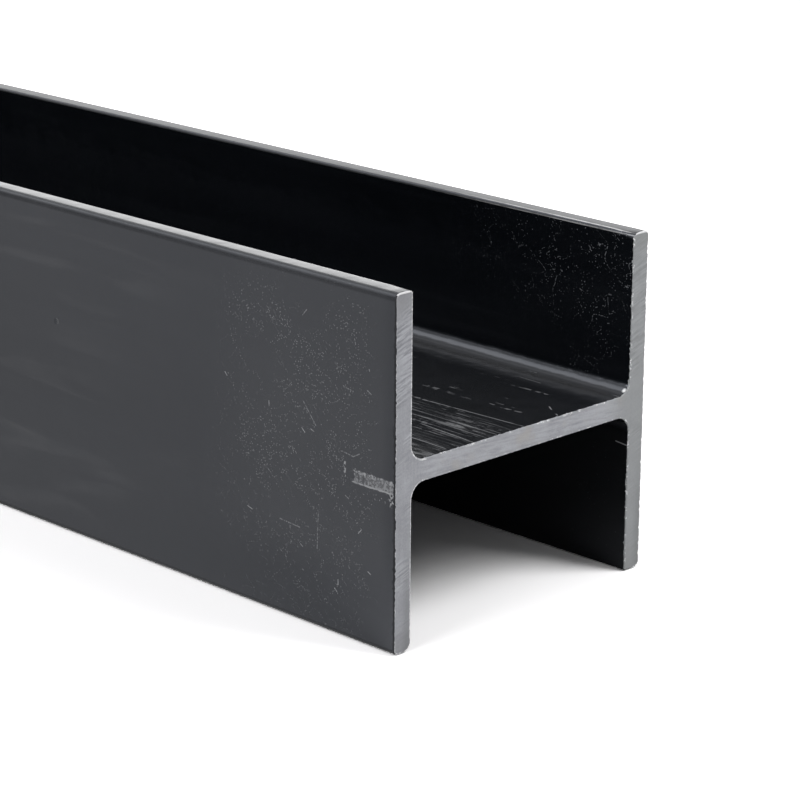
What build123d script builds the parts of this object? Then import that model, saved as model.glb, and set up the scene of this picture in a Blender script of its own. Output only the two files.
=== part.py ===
from build123d import *
import os

# Pultruded fiberglass wide-flange beam, sawn square at both ends.
# It lies with its web level, standing on the lower tips of both flanges.
# Millimetres. X runs along the beam, Y across it from flange to flange, Z is up.
# The origin is at the middle of its footprint, on the floor.

inch = 25.4

# Driving dimensions
length = 60 * inch
depth = 4 * inch                     # over the outer faces of the two flanges
flange_width = 4 * inch              # height of the flanges as the beam lies
flange_thickness = 0.25 * inch
web_thickness = 0.25 * inch
root_radius = 0.1875 * inch          # fillet where the web runs into a flange
tip_outer_radius = 0.0625 * inch     # rounding of the flange tips along the outer faces
tip_inner_radius = 0.03125 * inch    # rounding of the flange tips along the channels


def distance_from_web_plane(corner):
    """How far a corner of the section lies above or below the middle of the web."""
    return round(abs(corner.Y), 3)


def distance_from_middle(corner):
    """How far a corner of the section lies to either side of the middle of the web."""
    return round(abs(corner.X), 3)


def section():
    """The H section, centred on the beam's axis, with its root fillets and rounded flange tips."""
    channel_width = depth - 2 * flange_thickness
    channel_depth = (flange_width - web_thickness) / 2
    channel_middle = (web_thickness + channel_depth) / 2
    with BuildSketch(Plane.YZ) as sketch:
        Rectangle(depth, flange_width)
        with Locations((0, channel_middle), (0, -channel_middle)):
            Rectangle(channel_width, channel_depth, mode=Mode.SUBTRACT)
        roots = sketch.vertices().group_by(distance_from_web_plane)[0]
        fillet(roots, root_radius)
        tips = sketch.vertices().group_by(distance_from_web_plane)[-1]
        fillet(tips.group_by(distance_from_middle)[-1], tip_outer_radius)
        tips = sketch.vertices().group_by(distance_from_web_plane)[-1]
        fillet(tips.group_by(distance_from_middle)[0], tip_inner_radius)
    return sketch.sketch


def beam():
    """The section run out to the full length and lifted so that the flange tips stand on the floor."""
    run = extrude(section(), amount=length / 2, both=True)
    return Pos(0, 0, flange_width / 2) * run


os.makedirs("parts", exist_ok=True)
export_step(beam(), "parts/wide_flange_beam.step")
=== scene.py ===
import math
import random
import bmesh
import bpy
from mathutils import Matrix, Vector


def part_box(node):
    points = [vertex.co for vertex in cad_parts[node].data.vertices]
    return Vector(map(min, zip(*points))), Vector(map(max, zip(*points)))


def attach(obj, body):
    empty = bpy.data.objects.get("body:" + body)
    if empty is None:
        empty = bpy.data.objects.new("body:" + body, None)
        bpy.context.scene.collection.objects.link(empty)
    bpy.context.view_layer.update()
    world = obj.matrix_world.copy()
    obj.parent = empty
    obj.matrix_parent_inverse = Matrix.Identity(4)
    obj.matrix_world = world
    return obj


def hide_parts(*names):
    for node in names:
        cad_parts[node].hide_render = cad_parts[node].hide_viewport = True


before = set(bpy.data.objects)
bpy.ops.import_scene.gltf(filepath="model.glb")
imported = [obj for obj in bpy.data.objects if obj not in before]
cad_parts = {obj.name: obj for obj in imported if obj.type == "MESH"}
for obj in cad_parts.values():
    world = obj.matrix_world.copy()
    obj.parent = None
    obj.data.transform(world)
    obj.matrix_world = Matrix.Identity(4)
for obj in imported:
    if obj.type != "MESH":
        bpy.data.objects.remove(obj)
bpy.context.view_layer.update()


# Wide-flange beam, its body
# One length of pultruded fiberglass: glass rovings and mat drawn through a heated die in dark grey
# resin, so the web, both flanges and the fillets between them are one body, sawn off at both ends.
low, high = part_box("wide_flange_beam")
wall = 0.00635
root_radius = 0.0047625
tip_outer_radius = 0.0015875
tip_inner_radius = 0.00079375
root_steps = 12
tip_steps = 8
near_enough = 0.00002
length = high.x - low.x
end_plane = high.x
web_level = (low.z + high.z) / 2
flange_half = (high.z - low.z) / 2
channel_width = high.y - low.y - 2 * wall
channel_depth = flange_half - wall / 2


def pick_faces(wanted):
    """Selects the faces of the piece in edit mode whose middle and normal pass the test."""
    bpy.ops.mesh.select_mode(type="FACE")
    bpy.ops.mesh.select_all(action="DESELECT")
    shape = bmesh.from_edit_mesh(bpy.context.object.data)
    for face in shape.faces:
        face.select_set(bool(wanted(face.calc_center_median(), face.normal)))
    bmesh.update_edit_mesh(bpy.context.object.data)


def pick_edges(wanted):
    """Selects the edges of the piece in edit mode whose two end points pass the test."""
    bpy.ops.mesh.select_mode(type="EDGE")
    bpy.ops.mesh.select_all(action="DESELECT")
    shape = bmesh.from_edit_mesh(bpy.context.object.data)
    for edge in shape.edges:
        edge.select_set(bool(wanted(edge.verts[0].co, edge.verts[1].co)))
    bmesh.update_edit_mesh(bpy.context.object.data)


def pick_points(wanted):
    """Selects the points of the piece in edit mode whose place passes the test."""
    bpy.ops.mesh.select_mode(type="VERT")
    bpy.ops.mesh.select_all(action="DESELECT")
    shape = bmesh.from_edit_mesh(bpy.context.object.data)
    for point in shape.verts:
        point.select_set(bool(wanted(point.co)))
    bmesh.update_edit_mesh(bpy.context.object.data)


def close(first, second):
    """True where two measures are the same to a fiftieth of a millimetre."""
    return abs(first - second) < near_enough


def runs_lengthwise(first, second):
    """True for an edge that runs along the beam from end to end."""
    return abs(first.x - second.x) > length / 2


# The web is a flat bar, drawn out sideways into the flange roots and from there up and down.
bpy.ops.object.select_all(action="DESELECT")
bpy.ops.mesh.primitive_cube_add(size=1, location=(0, 0, web_level), scale=(length, channel_width, wall))
beam = bpy.context.object
beam.name = "pultruded_beam"
bpy.ops.object.transform_apply(location=True, rotation=True, scale=True)
bpy.ops.object.mode_set(mode="EDIT")
for side in (-1, 1):
    pick_faces(lambda middle, normal: normal.y * side > 0.9)
    bpy.ops.mesh.extrude_region_move(TRANSFORM_OT_translate={"value": (0, side * wall, 0)})
for side in (-1, 1):
    for way in (-1, 1):
        pick_faces(lambda middle, normal: normal.z * way > 0.9 and middle.y * side > channel_width / 2)
        bpy.ops.mesh.extrude_region_move(TRANSFORM_OT_translate={"value": (0, 0, way * channel_depth)})
bpy.ops.mesh.select_all(action="SELECT")
bpy.ops.mesh.dissolve_limited(angle_limit=math.radians(1))

# The die rounds the four roots and both long edges of each flange tip.
round_profile = {"profile": 0.5, "affect": "EDGES", "clamp_overlap": False}
pick_edges(
    lambda a, b: runs_lengthwise(a, b)
    and close(abs(a.y), channel_width / 2)
    and close(abs(a.z - web_level), wall / 2)
)
bpy.ops.mesh.bevel(offset=root_radius, segments=root_steps, **round_profile)
for tip_edge, tip_radius in ((high.y, tip_outer_radius), (channel_width / 2, tip_inner_radius)):
    pick_edges(
        lambda a, b: runs_lengthwise(a, b)
        and close(abs(a.y), tip_edge)
        and close(abs(a.z - web_level), flange_half)
    )
    bpy.ops.mesh.bevel(offset=tip_radius, segments=tip_steps, **round_profile)

# The flat runs of the outline are divided to about half a millimetre, so that the sawn edge can chip,
# and rings of points, closer towards each end, keep what is chipped there from bending the long faces.
long_flat = 0.02
still_wide = 0.0009
flat_cuts = 79
ring_distances = (0.0012, 0.003, 0.008, 0.025, 0.08, 0.25, 0.5)
pick_edges(lambda a, b: not runs_lengthwise(a, b) and (a - b).length > long_flat)
bpy.ops.mesh.subdivide(number_cuts=flat_cuts)
pick_edges(lambda a, b: not runs_lengthwise(a, b) and (a - b).length > still_wide)
bpy.ops.mesh.subdivide(number_cuts=1)
for distance in ring_distances:
    for side in (-1, 1):
        bpy.ops.mesh.select_all(action="SELECT")
        bpy.ops.mesh.bisect(plane_co=(side * (end_plane - distance), 0, 0), plane_no=(1, 0, 0))

# The saw breaks the edge of the cut: a narrow ragged chamfer, torn back farther along the outer faces.
arris = 0.00018
outer_tear = 0.00014
loop_reach = 0.0011
pick_edges(lambda a, b: close(abs(a.x), end_plane) and close(abs(b.x), end_plane))
bpy.ops.mesh.bevel(offset=arris, segments=1, **round_profile)


def behind_cut(point, side):
    """True for a point on the side of the chamfer that lies behind the sawn face."""
    return end_plane - loop_reach < point.x * side < end_plane - near_enough


def on_outer_face(point):
    """True for a point on the outer face of either flange."""
    return abs(point.y) > high.y - near_enough


chance = random.Random(3)


def place_order(point):
    """Where a point lies, to a micrometre: a fixed order, which the mesh's own list of points has not."""
    return [round(measure, 6) for measure in point.co]


def move_some(wanted, share, shift):
    """Moves a random share of the points that pass the test, drawn in the order of their places."""
    pick_points(wanted)
    shape = bmesh.from_edit_mesh(bpy.context.object.data)
    picked = [point for point in shape.verts if point.select]
    for point in sorted(picked, key=place_order):
        point.select_set(chance.random() < share)
    bmesh.update_edit_mesh(bpy.context.object.data)
    bpy.ops.transform.translate(value=shift)


# Each row: the share of points that move, and how far they move.
chips = ((0.6, 0.00005), (0.35, 0.0001), (0.12, 0.0002), (0.05, 0.00035))
for side in (-1, 1):
    pick_points(lambda point: behind_cut(point, side) and on_outer_face(point))
    bpy.ops.transform.translate(value=(-side * outer_tear, 0, 0))
    for share, bite in chips:
        move_some(lambda point: behind_cut(point, side), share, (-side * bite, 0, 0))

# Chips also eat into the sawn face, and burrs stand out from the inner edges into the channels.
outer_strip = 0.0004
clear_of_tips = 0.003
face_chips = ((0.45, 0.00009), (0.18, 0.00018), (0.06, 0.0003))
burrs = ((0.25, 0.00004), (0.06, 0.00008), (0.012, 0.00025))
web_burr_share = 0.5
for side in (-1, 1):
    for share, bite in face_chips:
        for flange in (-1, 1):
            move_some(
                lambda point: close(point.x * side, end_plane)
                and point.y * flange > high.y - outer_strip
                and abs(point.z - web_level) < flange_half - clear_of_tips,
                share, (0, -flange * bite, 0),
            )
    for share, reach in burrs:
        for flange in (-1, 1):
            move_some(
                lambda point: behind_cut(point, side) and close(point.y * flange, channel_width / 2),
                share, (0, -flange * reach, 0),
            )
        for way in (-1, 1):
            move_some(
                lambda point: behind_cut(point, side) and close((point.z - web_level) * way, wall / 2),
                share, (0, 0, way * reach * web_burr_share),
            )

# Four corners of the visible end are knocked round: each by its place across, its level and its radius.
knocked_corners = (
    (-channel_width / 2, low.z, 0.0032),
    (high.y, low.z, 0.0024),
    (-channel_width / 2, high.z, 0.0014),
    (channel_width / 2, high.z, 0.0018),
)
knock_reach = 0.008
own_corner = 1.5                     # in radii, so that the flange's other corners keep their shape
crease_angle = math.radians(25)
shape = bmesh.from_edit_mesh(beam.data)
for corner_across, corner_level, radius in knocked_corners:
    flange_middle = math.copysign(high.y - wall / 2, corner_across)
    middle_across = corner_across + math.copysign(radius, flange_middle - corner_across)
    middle_level = corner_level + math.copysign(radius, web_level - corner_level)
    for point in shape.verts:
        past_across = (point.co.y - middle_across) / (corner_across - middle_across)
        past_level = (point.co.z - middle_level) / (corner_level - middle_level)
        behind = (end_plane - point.co.x) / knock_reach
        spread = math.hypot(past_across, past_level)
        beside_corner = min(past_across, past_level) > 0 and max(past_across, past_level) < own_corner
        if behind < 1 and beside_corner and spread > 1:
            pull = (1 - behind) * (1 - 1 / spread)
            point.co.y = point.co.y + (middle_across - point.co.y) * pull
            point.co.z = point.co.z + (middle_level - point.co.z) * pull
bmesh.update_edit_mesh(beam.data)
bpy.ops.object.mode_set(mode="OBJECT")
bpy.ops.object.shade_smooth_by_angle(angle=crease_angle)


class Pattern:
    """One output of a shader node. Sums, differences and products of patterns add Math nodes."""

    def __init__(self, tree, output=None):
        self.tree = tree
        self.output = output

    def node(self, kind, settings, sockets, output=0):
        """Adds a node with its settings, then sets or links its sockets, and gives one output."""
        made = self.tree.nodes.new("ShaderNode" + kind)
        for name, value in settings.items():
            setattr(made, name, value)
        for name, value in sockets.items():
            if isinstance(value, Pattern):
                self.tree.links.new(value.output, made.inputs[name])
            else:
                made.inputs[name].default_value = value
        return Pattern(self.tree, made.outputs[output] if made.outputs else None)

    def math(self, operation, first, second=0.0):
        """Adds a Math node for one or two values."""
        return self.node("Math", {"operation": operation}, {0: first, 1: second})

    def __add__(self, other):
        return self.math("ADD", self, other)

    def __radd__(self, other):
        return self.math("ADD", other, self)

    def __sub__(self, other):
        return self.math("SUBTRACT", self, other)

    def __rsub__(self, other):
        return self.math("SUBTRACT", other, self)

    def __mul__(self, other):
        return self.math("MULTIPLY", self, other)

    def __rmul__(self, other):
        return self.math("MULTIPLY", other, self)

    def __abs__(self):
        return self.math("ABSOLUTE", self)


def new_material(name):
    """An empty material, and the pattern that holds places on the piece in its own coordinates."""
    material = bpy.data.materials.new(name)
    material.use_nodes = True
    material.node_tree.nodes.clear()
    place = Pattern(material.node_tree).node("TexCoord", {}, {}, "Object")
    return material, place


def rise(value, start, end):
    """Goes smoothly from 0 to 1 as the value goes from start to end."""
    settings = {"interpolation_type": "SMOOTHSTEP"}
    return value.node("MapRange", settings, {"Value": value, "From Min": start, "From Max": end})


def noise(place, scale, detail=2.0, stretch=(1, 1, 1), bend=0.0):
    """Soft noise about 0.5, with its grain stretched along the axes and bent about."""
    drawn = place.node("Mapping", {}, {"Vector": place, "Scale": stretch})
    sockets = {"Vector": drawn, "Scale": scale, "Detail": detail, "Distortion": bend}
    return place.node("TexNoise", {}, sockets, "Fac")


def blend(share, first, second):
    """Mixes two colours."""
    return share.node("Mix", {"data_type": "RGBA"}, {0: share, 6: first, 7: second}, 2)


def shader(place, sockets):
    """A principled shader with these values on its sockets."""
    return place.node("BsdfPrincipled", {}, sockets, "BSDF")


def finish_material(place, surface):
    """Closes a material with its output."""
    place.node("OutputMaterial", {}, {"Surface": surface})


def turned(place, angles):
    """The same places seen in axes turned by these degrees."""
    radians = [math.radians(angle) for angle in angles]
    return place.node("Mapping", {}, {"Vector": place, "Rotation": radians})


def axis(place, name):
    """One coordinate of the place."""
    return place.node("SeparateXYZ", {}, {"Vector": place}, name)


def band(value, middle, half, soft):
    """1 where the value lies within half of the middle, falling to 0 over the soft edge."""
    return 1 - rise(abs(value - middle), half, half + soft)


# Skin of the beam
# Dark grey resin, smooth from the die and a little glossy, with the pale ends of glass fibres showing as
# fine dotted flecks where the ends are handled, lengthwise drag lines on the web, and one scuff.
mm = 0.001
skin, place = new_material("pultruded skin")
along = axis(place, "X")
across = axis(place, "Y")
up = axis(place, "Z")
from_end = end_plane - abs(along)
at_front = rise(along, 0.0, 0.1)
in_channel = 1 - rise(abs(across), 40.5 * mm, 44.5 * mm)
on_outside = rise(abs(across), high.y - 0.8 * mm, high.y - 0.4 * mm)
on_near_face = 1 - rise(across, low.y + 0.4 * mm, low.y + 0.8 * mm)
mottle = noise(place, 22, 4, (0.25, 1, 1))
faint_streaks = rise(noise(place, 1, 3.0, (9, 260, 260)), 0.5, 0.75)
dark_resin = (0.001, 0.0014, 0.0021, 1)
lighter_resin = (0.0036, 0.0043, 0.0054, 1)
colour = blend(rise(mottle + 0.25 * faint_streaks, 0.35, 0.8), dark_resin, lighter_resin)


def winding_lines(place, scale, width, core):
    """Lines where a noise passes its middle, at full strength over this share of their width."""
    from_line = abs(noise(place, scale, 1.0, (0.45, 1, 1)) - 0.5)
    return 1 - rise(from_line, width * core, width)


def fibre_marks(place, scale, width, chop, share):
    """Thin winding lines, chopped into dots and short lengths."""
    kept = rise(noise(place, chop, 0.0), share, share + 0.06)
    return winding_lines(place, scale, width, 0.4) * kept


def dots(place, spacing, size):
    """Small round dots at random places, about this far apart."""
    gap = place.node("TexVoronoi", {}, {"Vector": place, "Scale": 1 / spacing}, "Distance")
    return 1 - rise(gap, 0.6 * size / spacing, size / spacing)


# Flecks lie in drifts where the ends are handled: in rows and strewn on the outer faces, and on the inner
# faces of the flanges towards their tips and beside the cut.
slant = turned(place, (0, -38, 0))
counter_slant = turned(place, (0, 25, 20))
drifts = rise(noise(place, 70, 2.0), 0.28, 0.52)
handled = rise(from_end, 2 * mm, 17 * mm) * (1 - 0.97 * rise(from_end, 44 * mm, 84 * mm))
handled = handled * (1 - 0.7 * rise(up, 91 * mm, 99 * mm)) * (0.45 + 0.55 * rise(up, 8 * mm, 26 * mm))
off_web = 1 - band(up, web_level, 4.5 * mm, 3 * mm) * (1 - on_outside)
fine_marks = fibre_marks(slant, 120, 0.006, 1700, 0.52)
fine_marks = fine_marks + fibre_marks(counter_slant, 190, 0.007, 1600, 0.56)
rows = winding_lines(slant, 150, 0.032, 0.5) + winding_lines(counter_slant, 230, 0.03, 0.5)
strewn = 0.8 * rise(noise(place, 420, 1.0), 0.5, 0.6)
outer_flecks = (dots(place, 0.66 * mm, 0.2 * mm) * (rows + strewn) + 0.3 * fine_marks) * drifts * handled
inner_drifts = 0.3 + 0.7 * rise(noise(place, 110, 3.0), 0.38, 0.58)
inner_drifts = inner_drifts * (1 - 0.97 * rise(from_end, 15 * mm, 105 * mm))
by_tip = rise(up, 58 * mm, 92 * mm)
inner_drifts = inner_drifts * (0.08 + 0.6 * by_tip + 0.34 * (1 - rise(from_end, 14 * mm, 42 * mm)))
loose = 0.4 + 0.6 * rise(noise(place, 700, 0.0), 0.45, 0.6)
inner_flecks = (dots(place, 0.9 * mm, 0.21 * mm) * loose + 0.8 * fine_marks) * inner_drifts * off_web
flecks = on_outside * outer_flecks + (1 - on_outside) * inner_flecks

# A thin chalky haze lies over the outer faces in the same zone, and the flecks show on top of it.
haze = rise(from_end, 1 * mm, 6 * mm) * (1 - rise(from_end, 40 * mm, 84 * mm)) * on_outside
haze = haze * rise(up, 12 * mm, 30 * mm) * (1 - 0.35 * rise(up, 60 * mm, 90 * mm))
haze_grey = (0.019, 0.0196, 0.0207, 1)
colour = blend(0.58 * haze, colour, haze_grey)
bare_fibre = (0.111, 0.113, 0.1175, 1)
bare_inner_fibre = (0.1, 0.104, 0.113, 1)
colour = blend(rise(flecks, 0.0, 1.0), colour, blend(on_outside, bare_inner_fibre, bare_fibre))

# Soft rub marks along the outer faces, in wide patches that fade towards the middle of the beam.
rub_patches = rise(noise(place, 11, 1.0), 0.42, 0.6) * rise(from_end, 60 * mm, 100 * mm)
rub_patches = rub_patches * (1 - 0.55 * rise(from_end, 220 * mm, 420 * mm))
rub_marks = rise(noise(place, 1, 3.0, (16, 130, 130), 0.6), 0.46, 0.72) * rub_patches * on_outside
rub_grey = (0.02, 0.0206, 0.0218, 1)
colour = blend(rub_marks, colour, rub_grey)


def scratch(first, second, start, end, half):
    """A thin straight mark between two points, each given by two coordinates of the face."""
    run = (end[0] - start[0], end[1] - start[1])
    run_squared = run[0] ** 2 + run[1] ** 2
    first_gap = first - start[0]
    second_gap = second - start[1]
    share = first_gap * (run[0] / run_squared) + second_gap * (run[1] / run_squared)
    share = share.node("Clamp", {}, {"Value": share})
    first_gap = first_gap - share * run[0]
    second_gap = second_gap - share * run[1]
    distance = share.math("SQRT", first_gap * first_gap + second_gap * second_gap)
    return 1 - rise(distance, half * 0.5, half)


def marks_on_face(first, second, marks, half):
    """The sum of straight marks, each given in millimetres by its two ends."""
    total = 0.0
    for start, end in marks:
        start = (start[0] * mm, start[1] * mm)
        end = (end[0] * mm, end[1] * mm)
        total = total + scratch(first, second, start, end, half)
    return total


# The largest fibres in the near face, by their distance from the sawn end and their height.
bold_fibres = (
    ((49.3, 61.6), (49.3, 60.2)), ((36.1, 56.8), (34.9, 55.7)), ((32.5, 57.2), (31.3, 56.8)),
    ((9.9, 78.9), (9.7, 78.5)), ((58.4, 28.6), (56.6, 28.1)), ((13.9, 31.8), (12.7, 33.1)),
    ((36.7, 22.8), (35.9, 22.3)), ((35.9, 15.6), (35.7, 15.4)), ((10.1, 21.7), (9.1, 21.2)),
    ((67.4, 66.0), (66.6, 65.1)), ((21.8, 16.3), (21.8, 14.9)), ((23.2, 13.5), (22.2, 12.6)),
)
faint_fibres = (
    ((35.6, 88.9), (34.0, 90.7)), ((19.8, 72.3), (16.0, 71.5)), ((10.6, 73.0), (9.1, 72.2)),
    ((35.6, 64.7), (30.5, 58.6)), ((15.5, 86.3), (15.1, 84.8)), ((29.6, 34.0), (30.1, 23.2)),
    ((20.1, 53.8), (15.9, 53.2)), ((15.9, 53.2), (13.5, 54.5)), ((45.1, 28.2), (36.9, 27.6)),
    ((18.9, 41.4), (17.7, 40.8)),
)
near_front = on_near_face * at_front
grainy = 0.35 + 0.65 * rise(noise(place, 1500, 0.0), 0.4, 0.55)
bold = marks_on_face(from_end, up, bold_fibres, 0.19 * mm) * near_front * (0.4 + 0.6 * grainy)
faint = marks_on_face(from_end, up, faint_fibres, 0.2 * mm) * near_front * grainy
bright_fibre = (0.2, 0.203, 0.21, 1)
colour = blend(rise(faint, 0.0, 1.0), colour, bare_fibre)
colour = blend(rise(bold, 0.0, 1.0), colour, bright_fibre)

# The web's faces carry soft drag streaks, dense towards the near flange, a few dashes and some scratches.
on_web = band(up, web_level, 3.4 * mm, 1.1 * mm) * in_channel * rise(from_end, 0.3 * mm, 0.8 * mm)
near_side = 1 - rise(across + 0.024 * (noise(place, 30, 1.0) - 0.5), -16 * mm, 2 * mm)
smears = rise(noise(place, 1, 3.0, (55, 480, 480), 0.4), 0.42, 0.66)
fine_streaks = rise(noise(place, 1, 2.0, (45, 1000, 1000)), 0.5, 0.62)
specks = rise(noise(place, 1300, 1.0, (0.6, 1, 1)), 0.44, 0.64)
patchy = rise(noise(place, 60, 2.0, (0.5, 1, 1)), 0.34, 0.6)
by_cut = 0.35 + 0.65 * (1 - rise(from_end, 60 * mm, 180 * mm))
rubbed = 0.02 + 0.15 * smears + 0.34 * smears * specks + 0.78 * fine_streaks + 0.12 * specks
rubbed = rubbed * (0.4 + 0.6 * patchy) * (0.1 + 0.9 * near_side) * by_cut
by_root = 1 - rise(across, -35 * mm, -27 * mm)
rubbed = rubbed + 0.75 * by_root * by_cut * rise(noise(place, 1, 1.0, (90, 280, 280), 1.2), 0.5, 0.66)
dashes = rise(noise(place, 1, 1.0, (35, 900, 900)), 0.64, 0.7) * rise(noise(place, 45, 1.0), 0.4, 0.56)
dashes = dashes * rise(noise(place, 1, 1.0, (330, 330, 330)), 0.46, 0.58)
web_scratches = (
    ((37.9, -1.7), (0.3, 0.3)), ((23.0, -18.3), (0.7, -20.1)), ((18.0, -29.0), (0.8, -29.6)),
    ((8.1, 19.1), (4.0, 16.2)), ((4.0, 16.2), (1.1, 14.8)), ((4.5, -38.5), (1.0, -35.8)),
)
lines = marks_on_face(from_end, across, web_scratches, 0.26 * mm) * at_front
lines = lines * rise(noise(place, 1, 1.0, (160, 400, 400)), 0.3, 0.45)
streaks = (rubbed + 0.7 * dashes + 1.2 * lines) * on_web
drag_grey = (0.21, 0.213, 0.222, 1)
colour = blend(rise(streaks, 0.0, 1.3), colour, drag_grey)

# A pale scuff on the near flange's outer face, rubbed along the length up to the sawn edge.
scuff_level = 47.8 * mm
scuff_half = 1.8 * mm
scuff_length = 17 * mm
ragged = noise(place, 800, 3.0, (0.7, 1, 1)) - 0.5
scuff_height = up - scuff_level + 1.6 * mm * ragged
scuff_reach = 1 - rise(from_end + 9 * mm * ragged, scuff_length * 0.92, scuff_length)
scuff_reach = scuff_reach * rise(from_end + 2.6 * mm * ragged, 0.2 * mm, 0.7 * mm)
scuff_body = band(scuff_height, 0.0, scuff_half * 0.85, scuff_half * 0.25) * scuff_reach
crackle = rise(abs(noise(place, 900, 2.0) - 0.5), 0.02, 0.13)
rubbed_off = 0.6 * rise(from_end, 4 * mm, 15 * mm) * (1 - rise(noise(place, 950, 2.0), 0.42, 0.58))
scuff_body = scuff_body * (1 - rubbed_off)
lower_edge = band(up - scuff_level + 0.7 * mm * ragged, -scuff_half, 0.12 * mm, 0.22 * mm) * scuff_reach
lower_edge = lower_edge * (0.45 + 0.55 * rise(noise(place, 420, 1.0), 0.4, 0.56))
upper_flecks = band(scuff_height, scuff_half * 0.8, 0.4 * mm, 0.3 * mm) * scuff_reach
upper_flecks = upper_flecks * rise(noise(place, 1100, 1.0), 0.52, 0.64)
tick = band(from_end + 0.9 * mm * ragged, 19.2 * mm, 0.2 * mm, 0.3 * mm)
tick = tick * band(up, scuff_level + 1.2 * mm, 1.9 * mm, 0.6 * mm)
tick = tick * rise(noise(place, 1500, 0.0), 0.42, 0.56)
edge_flecks = band(up, scuff_level - 3.4 * mm, 1.8 * mm, 1.4 * mm) * rise(noise(place, 1300, 1.0), 0.5, 0.6)
edge_flecks = edge_flecks * (1 - rise(from_end, 1.2 * mm, 3.2 * mm))
below = band(up, scuff_level - 3.6 * mm, 0.8 * mm, 1.2 * mm) * (1 - rise(from_end, 6 * mm, 11 * mm))
below = below * rise(noise(place, 1500, 0.0), 0.66, 0.74)
runs = band(up, scuff_level - 3.4 * mm, 1 * mm, 1 * mm) * band(from_end, 8 * mm, 5 * mm, 2 * mm)
runs = runs * rise(noise(place, 1, 0.0, (700, 700, 60)), 0.5, 0.7)
scuff = scuff_body * (0.42 + 0.36 * crackle) + lower_edge + 0.8 * upper_flecks + tick + edge_flecks
scuff = scuff + 0.7 * below + 0.12 * runs
scuff = rise(scuff * near_front, 0.0, 1.2)
scuff_grey = (0.23, 0.233, 0.24, 1)
colour = blend(scuff, colour, scuff_grey)


def spot(place, middle, core, radius):
    """1 at a point of the piece, falling to 0 from the core out to the radius."""
    offset = place.node("VectorMath", {"operation": "DISTANCE"}, {0: place, 1: middle}, "Value")
    return 1 - rise(offset, core, radius)


# One small pit in the near face, and one scratch in the far flange below the web.
pit = spot(place, (end_plane - 142.4 * mm, low.y, 65.5 * mm), 0.4 * mm, 1.1 * mm)
far_inside = band(across, channel_width / 2, 0.1 * mm, 0.2 * mm) * at_front
far_scratch = marks_on_face(from_end, up, (((4.6, 38.9), (0.4, 38.5)),), 0.25 * mm) * far_inside
colour = blend(far_scratch, colour, bright_fibre)

# Painted highlights: fine pale lines on the inner edges of the upper flange tips, where the rounded edge
# catches the light, brightest by the cut, and one painted glint where the web meets the far flange there.
off_top = high.z - up
top_line = band(abs(across), channel_width / 2 + 0.62 * mm, 0.16 * mm, 0.12 * mm)
top_line = top_line * (1 - rise(off_top, 0.2 * mm, 0.3 * mm))
inner_line = band(off_top, tip_inner_radius, 0.1 * mm, 0.12 * mm)
inner_line = inner_line * (1 - rise(abs(across), 44.7 * mm, 45 * mm))
highlight_reach = 1 - 0.9 * rise(from_end, 25 * mm, 90 * mm)
highlight_reach = highlight_reach * (1 - 0.35 * rise(across, 0.0, 1 * mm))
highlight_patches = 0.6 + 0.4 * rise(noise(place, 300, 1.0), 0.35, 0.55)
painted_edge_highlight = (top_line + 0.45 * inner_line) * highlight_reach * highlight_patches
# Painted glint where the far root fillet's highlight reaches the cut.
root_glint = spot(place, (end_plane - 0.8 * mm, 42.7 * mm, 55.6 * mm), 0.4 * mm, 1 * mm)
painted_edge_highlight = painted_edge_highlight + root_glint
highlight_pale = (0.85, 0.852, 0.86, 1)
colour = blend(painted_edge_highlight, colour, highlight_pale)

# The top of the far flange is duller than the other tips, and so is the near one beside the cut.
on_top = rise(up, high.z - 0.4 * mm, high.z - 0.1 * mm)
on_near_tip = (1 - rise(across, 0.0, 1 * mm)) * on_top
dull_tip = rise(across, high.y - wall - 1 * mm, high.y - wall) * on_top
dull_tip = dull_tip + 0.7 * on_near_tip * (1 - rise(from_end, 2.2 * mm, 4.2 * mm))

# The die leaves a fine lengthwise grain and a slight ripple, and all pale marks and tips are rougher.
grain = noise(place, 1, 3.0, (30, 1400, 1400)) * 0.5 + noise(place, 500, 2.0) * 0.5
ripple = noise(place, 80, 2.0, (1.2, 1, 1)) - 0.5 + 0.4 * (noise(place, 260, 1.0, (0.6, 1, 1)) - 0.5)
ripple = ripple * (1 - 0.8 * on_outside) - 1.2 * pit
waved = place.node("Bump", {}, {"Strength": 0.3, "Distance": 0.8 * mm, "Height": ripple}, "Normal")
relief = place.node(
    "Bump", {}, {"Strength": 0.05, "Distance": 0.3 * mm, "Height": grain, "Normal": waved}, "Normal"
)
pale_marks = rise(flecks + faint + bold + 0.3 * streaks + scuff + pit + painted_edge_highlight, 0.0, 1.0)
outer_rounding = rise(abs(across), high.y - 2 * mm, high.y - 1.5 * mm)
outer_rounding = outer_rounding * (1 - rise(off_top, 1.2 * mm, 1.7 * mm))
resin = shader(place, {
    "Base Color": colour,
    "Roughness": 0.14 + 0.06 * mottle + 0.35 * pale_marks + 0.2 * dull_tip + 0.22 * outer_rounding,
    "Specular Tint": (0.84, 0.885, 1.0, 1),
    "Normal": relief,
})

# The skin is dull in a stripe under the upper tips, round the lower ones, on the middle of the web and in
# the lower channel, and a little so on the outer faces away from the ends. Along their sawn edge it is torn.
dull_sockets = {"Base Color": (0.003, 0.0034, 0.0042, 1), "Roughness": 0.7, "Specular IOR Level": 0.1}
torn_sockets = {"Base Color": (0.024, 0.025, 0.028, 1), "Roughness": 0.8, "Specular IOR Level": 0.15}
dull = shader(place, dull_sockets)
edge_wander = from_end + 1.2 * mm * (noise(place, 350, 2.0) - 0.5)
torn_edge = 0.75 * on_outside * (1 - rise(edge_wander, 0.1 * mm, 0.8 * mm)) * (1 - scuff)
dull_stripe = 0.45 * on_outside * band(off_top, 1.4 * mm, 0.4 * mm, 0.6 * mm)
dull_stripe = dull_stripe * (0.6 + 0.4 * noise(place, 120, 1.0))
on_low_rounding = rise(abs(across), high.y - 2 * mm, high.y - 1.4 * mm) * (1 - rise(up, 1.1 * mm, 1.9 * mm))
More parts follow.
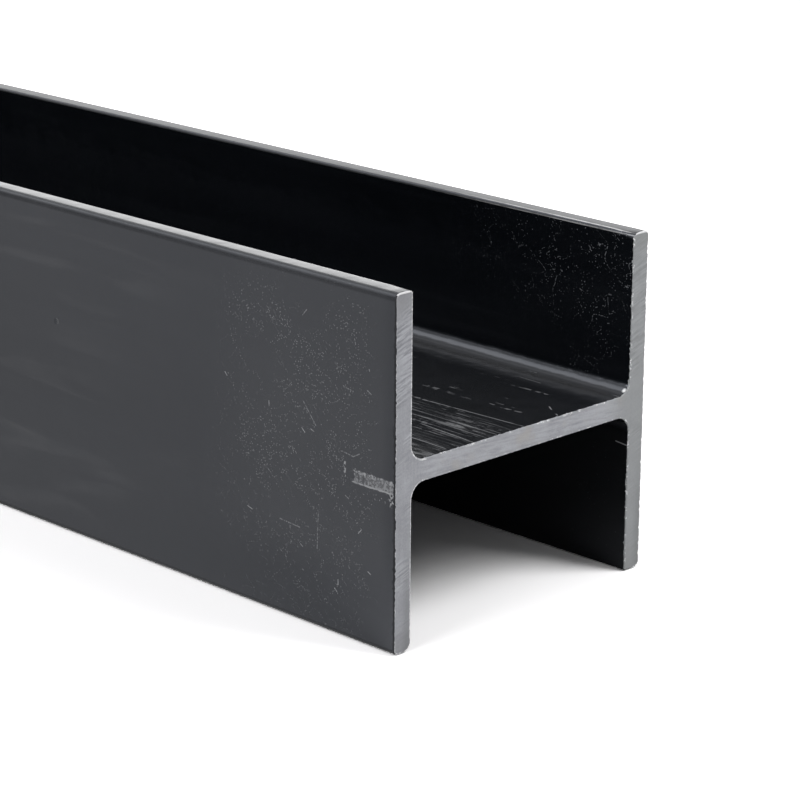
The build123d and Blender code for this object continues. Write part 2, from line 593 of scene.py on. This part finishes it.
dull_rounding = 0.6 * on_low_rounding
dull_run = 0.2 * on_outside * rise(from_end, 60 * mm, 260 * mm)
dull_web = 0.4 * on_web * band(across, 8 * mm, 12 * mm, 14 * mm) * (1 - rise(streaks, 0.05, 0.3))
dull_below = 0.75 * (1 - on_outside) * (1 - on_low_rounding) * (1 - rise(up, 41 * mm, 46 * mm))
dull_below = dull_below * (1 - far_scratch)
dull_share = dull_stripe + dull_rounding + dull_run + dull_web + dull_below
skin_shader = place.node("MixShader", {}, {0: dull_share, 1: resin, 2: dull})
skin_shader = place.node("MixShader", {}, {0: torn_edge, 1: skin_shader, 2: shader(place, torn_sockets)})
finish_material(place, skin_shader)


# Sawn ends
# The saw cuts through the glass rovings, so the cut faces are a paler matt grey with its stroke marks and a
# painted shade low on the +Y side of each flange, and their edges are frayed: pale broken resin and fibre
# ends, with a painted highlight where the broken edge catches the light.
def sawn_colour(place):
    """The grey of a cut face with saw strokes across the flanges, layer lines along the web, and a painted
    shade low on the +Y side of each flange.
    """
    across = axis(place, "Y")
    up = axis(place, "Z")
    in_flange = rise(abs(across), 36 * mm, 45 * mm)
    far_upper = rise(across, 36 * mm, 44 * mm) * rise(up, 60 * mm, 68 * mm)
    near_lower = (1 - rise(across, -44 * mm, -36 * mm)) * band(up, 22.5 * mm, 3.5 * mm, 3 * mm)
    stroke_patches = rise(noise(place, 85, 1.0), 0.49, 0.6) + 0.6 * far_upper + 0.7 * near_lower
    stroke_patches = stroke_patches.math("MINIMUM", stroke_patches, 1.0)
    strokes = noise(turned(place, (-17, 0, 0)), 1, 4.0, (1, 160, 1500), 0.3) - 0.5
    cuts = rise(noise(turned(place, (-24, 0, 0)), 1, 1.0, (1, 140, 2300)), 0.6, 0.7) * stroke_patches
    roving_lines = noise(place, 1, 3.0, (1, 1500, 40)) - 0.5
    layers = noise(turned(place, (3, 0, 0)), 1, 4.0, (1, 110, 1300), 0.6) - 0.5
    stroke_zone = 0.3 + 0.9 * rise(up, 56 * mm, 66 * mm) + 0.7 * band(up, 46 * mm, 3 * mm, 4 * mm)
    stroke_zone = stroke_zone + 0.7 * near_lower
    saw_marks = (strokes * (0.2 + 1.4 * stroke_patches) + 0.35 * cuts) * stroke_zone
    flange_marks = saw_marks + 0.14 * roving_lines
    marks = flange_marks * in_flange + 0.75 * layers * (1 - in_flange)
    clouds = noise(place, 150, 3.0) - 0.5
    speckle = noise(place, 2200, 1.0) - 0.5
    tone = rise(marks + 0.35 * clouds + 0.3 * speckle + 0.08 * (1 - in_flange), -0.36, 0.36)
    cut_grey = (0.199, 0.204, 0.222, 1)
    cut_pale = (0.394, 0.402, 0.432, 1)
    stain_brown = (0.35, 0.33, 0.3, 1)
    tip_grey = (0.21, 0.212, 0.22, 1)
    greenish_grey = (0.24, 0.252, 0.246, 1)
    shaded_grey = (0.13, 0.133, 0.138, 1)
    colour = blend(tone, cut_grey, cut_pale)
    stain = rise(noise(place, 110, 2.0), 0.56, 0.7) * 0.5
    colour = blend(stain * (1 - in_flange), colour, stain_brown)
    near_tip = 0.55 * rise(abs(up - web_level), flange_half - 10 * mm, flange_half - 2 * mm)
    colour = blend(near_tip, colour, tip_grey)
    far_green = 0.55 * rise(across, 30 * mm, 46 * mm)
    colour = blend(far_green, colour, greenish_grey)
    # Painted shade: the lower part of each flange's cut face is painted darker towards its +Y side.
    right_side = rise(across, high.y - 0.7 * wall, high.y)
    right_side = right_side + band(across, wall - high.y, 0.2 * wall, 0.5 * wall)
    lower_shade = 0.45 * right_side * (1 - rise(up, 12 * mm, 40 * mm))
    return blend(lower_shade, colour, shaded_grey), marks, speckle


sawn, place = new_material("sawn fiberglass")
colour, marks, speckle = sawn_colour(place)
relief = place.node("Bump", {}, {"Strength": 0.35, "Distance": 0.4 * mm, "Height": marks}, "Normal")
finish_material(place, shader(place, {
    "Base Color": colour,
    "Roughness": 0.6 + 0.2 * speckle,
    "Normal": relief,
}))

frayed, place = new_material("frayed edge and painted highlight")
colour, marks, speckle = sawn_colour(place)
inside = 1 - 0.6 * rise(abs(axis(place, "Y")), high.y - 1.1 * mm, high.y - 0.7 * mm)
stretches = 0.12 + 0.88 * rise(noise(place, 420, 1.0), 0.5, 0.62)
tatter = noise(place, 1500, 2.0)
# The pale fibre white here is partly frayed fibre ends and partly a painted highlight, laid along the whole
# top edge and round the near flange's end where the broken edge catches the light.
top_rim_fray_and_highlight = rise(axis(place, "Z"), high.z - 0.9 * mm, high.z - 0.4 * mm)
near_rim_fray_and_highlight = 1 - rise(axis(place, "Y"), -42 * mm, -38 * mm)
fray_and_highlight_share = rise(tatter, 0.42, 0.6) * stretches * inside
fray_and_highlight_share = fray_and_highlight_share + near_rim_fray_and_highlight * inside * (0.25 + 0.35 * rise(tatter, 0.4, 0.6))
fray_and_highlight_share = rise(fray_and_highlight_share * (1 - top_rim_fray_and_highlight) + 0.85 * top_rim_fray_and_highlight, 0.0, 1.0)
fibre_white = (0.74, 0.74, 0.75, 1)
colour = blend(fray_and_highlight_share, colour, fibre_white)
finish_material(place, shader(place, {"Base Color": colour, "Roughness": 0.5 + 0.3 * tatter}))

torn, place = new_material("torn skin")
finish_material(place, shader(place, torn_sockets))

skin_slot, sawn_slot, frayed_slot, torn_slot = range(4)
for material in (skin, sawn, frayed, torn):
    beam.data.materials.append(material)


def assign(slot):
    """Gives the picked faces the material in this slot."""
    beam.active_material_index = slot
    bpy.ops.object.material_slot_assign()


frayed_width = 0.0003
chamfer_reach = 0.0008
torn_strip = 0.0005
square_to_cut = 0.95
least_slope = 0.1


def on_chamfer(middle, normal):
    """True for a face of the narrow broken edge around a cut."""
    return least_slope < abs(normal.x) < square_to_cut and abs(middle.x) > end_plane - chamfer_reach


def on_outer_edge(middle):
    """True for a face that borders the outer face of a flange."""
    return abs(middle.y) >= high.y - torn_strip


bpy.ops.object.mode_set(mode="EDIT")
pick_faces(lambda middle, normal: abs(normal.x) > square_to_cut)
assign(frayed_slot)
for side in (-1, 1):
    pick_faces(lambda middle, normal: normal.x * side > square_to_cut)
    bpy.ops.mesh.inset(thickness=frayed_width, use_even_offset=False)
    assign(sawn_slot)
pick_faces(lambda middle, normal: on_chamfer(middle, normal) and not on_outer_edge(middle))
assign(frayed_slot)
pick_faces(lambda middle, normal: on_chamfer(middle, normal) and on_outer_edge(middle))
assign(torn_slot)
bpy.ops.object.mode_set(mode="OBJECT")

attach(beam, "root")
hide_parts("wide_flange_beam")


# Floor
# A white studio sweep, matt, just under the flange tips, with painted light in two places: brighter beside
# the beam's foot where it shows in a gloss, which hides the beam's shade there, and brighter towards the
# back end of the beam where it is seen straight, which makes up for the lamps falling off there.
bpy.ops.object.select_all(action="DESELECT")
floor_size = 40
floor_gap = 0.0002
bpy.ops.mesh.primitive_plane_add(size=floor_size, location=(0, 0, -floor_gap))
floor = bpy.context.object
floor.name = "studio_floor"


def in_a_gloss(pattern):
    """1 for what shows in a gloss or through something clear, and 0 for all other light."""
    glossy = pattern.node("LightPath", {}, {}, "Is Glossy Ray")
    through = pattern.node("LightPath", {}, {}, "Is Transmission Ray")
    return pattern.math("MAXIMUM", glossy, through)


white, place = new_material("white sweep")
seen_straight = place.node("LightPath", {}, {}, "Is Camera Ray")
past_end = abs(axis(place, "X")) - end_plane
past_end = past_end.math("MAXIMUM", past_end, 0.0)
beside = axis(place, "Y")
from_beam = past_end.math("SQRT", past_end * past_end + beside * beside)
# Painted light: the floor is painted brighter beside the beam's foot where it shows in a gloss.
foot_light_mask = rise(from_beam, 0.046, 0.0505) * (1 - rise(from_beam, 0.055, 0.14))
sweep_white = (0.74, 0.735, 0.74, 1)
white_in_gloss = (0.92, 0.915, 0.92, 1)
painted_light_at_foot = (1.5, 1.495, 1.5, 1)
painted_light_by_back_end = (2.5, 2.49, 2.5, 1)
white_by_front_end = (1.42, 1.41, 1.42, 1)
gloss_white = blend(foot_light_mask, white_in_gloss, painted_light_at_foot)
sweep_colour = blend(in_a_gloss(place), sweep_white, gloss_white)
# Painted light: seen straight, the floor is painted brighter towards the back end of the beam, where less
# lamp light falls.
seen_white = blend(rise(axis(place, "X"), -0.75, 0.35), painted_light_by_back_end, white_by_front_end)
sweep_colour = blend(seen_straight, sweep_colour, seen_white)
sweep = place.node("BsdfDiffuse", {}, {"Color": sweep_colour})
bare_white = place.node("Emission", {}, {"Color": (1, 1, 1, 1), "Strength": 1.0})
far_off = rise(from_beam, 0.35, 1.0) * seen_straight
finish_material(place, place.node("MixShader", {}, {0: far_off, 1: sweep, 2: bare_white}))
floor.data.materials.append(white)


# Light
# Soft white light all round, and five soft boxes: over the beam to the left, to the right, in front of
# the near flange, a low one behind, and one for the other end of the beam.
world = bpy.data.worlds.new("studio")
bpy.context.scene.world = world
world.use_nodes = True
world.node_tree.nodes.clear()
sky = Pattern(world.node_tree)
ambient = 0.27
seen_straight = sky.node("LightPath", {}, {}, "Is Camera Ray")
strength = ambient + (1 - ambient) * sky.math("MAXIMUM", seen_straight, in_a_gloss(sky))
light = sky.node("Background", {}, {"Color": (1, 1, 1, 1), "Strength": strength})
sky.node("OutputWorld", {}, {"Surface": light})

front_end = Vector((0.7, 0, 0.05))
back_end = Vector((-0.76, 0, 0.05))


def soft_box(name, place, lit_spot, width, height, power):
    """A rectangular soft light that faces the lit spot."""
    bpy.ops.object.select_all(action="DESELECT")
    bpy.ops.object.light_add(type="AREA", location=place)
    box = bpy.context.object
    box.name = name
    box.data.shape = "RECTANGLE"
    box.data.size = width
    box.data.size_y = height
    box.data.energy = power
    box.visible_camera = False
    box.rotation_euler = (lit_spot - Vector(place)).to_track_quat("-Z", "Y").to_euler()


soft_box("left_soft_box", (-0.24, -0.43, 1.1), front_end, 0.55, 0.6, 2.3)
soft_box("right_soft_box", (1.5, 0.57, 1.2), front_end, 0.72, 0.72, 15.4)
soft_box("front_soft_box", (0.35, -1.5, 1.1), front_end, 1.6, 0.9, 23)
soft_box("back_soft_box", (-0.45, 1.15, 0.5), front_end, 1.7, 0.6, 3.5)
soft_box("end_soft_box", (-2.0, -0.5, 1.2), back_end, 0.8, 0.8, 9)


# Camera
# A long lens from the right of the near flange, a little above the beam, looking at its sawn end.
yaw = math.radians(44.818)
pitch = math.radians(17.157)
roll = math.radians(0.4)
image_width = 800
focal_pixels = 2944.8
sensor = 36
lens = bpy.data.cameras.new("camera")
lens.sensor_width = sensor
lens.lens = focal_pixels / image_width * sensor
lens.clip_start = 0.01
camera = bpy.data.objects.new("camera", lens)
bpy.context.scene.collection.objects.link(camera)
viewpoint = (end_plane + 0.52378, -0.57622, 0.30177)
aim = Matrix.Rotation(yaw, 4, "Z") @ Matrix.Rotation(math.pi / 2 - pitch, 4, "X")
turn = aim @ Matrix.Rotation(roll, 4, "Z")
camera.matrix_world = Matrix.Translation(viewpoint) @ turn
bpy.context.scene.camera = camera
bpy.context.scene.view_settings.view_transform = "Standard"
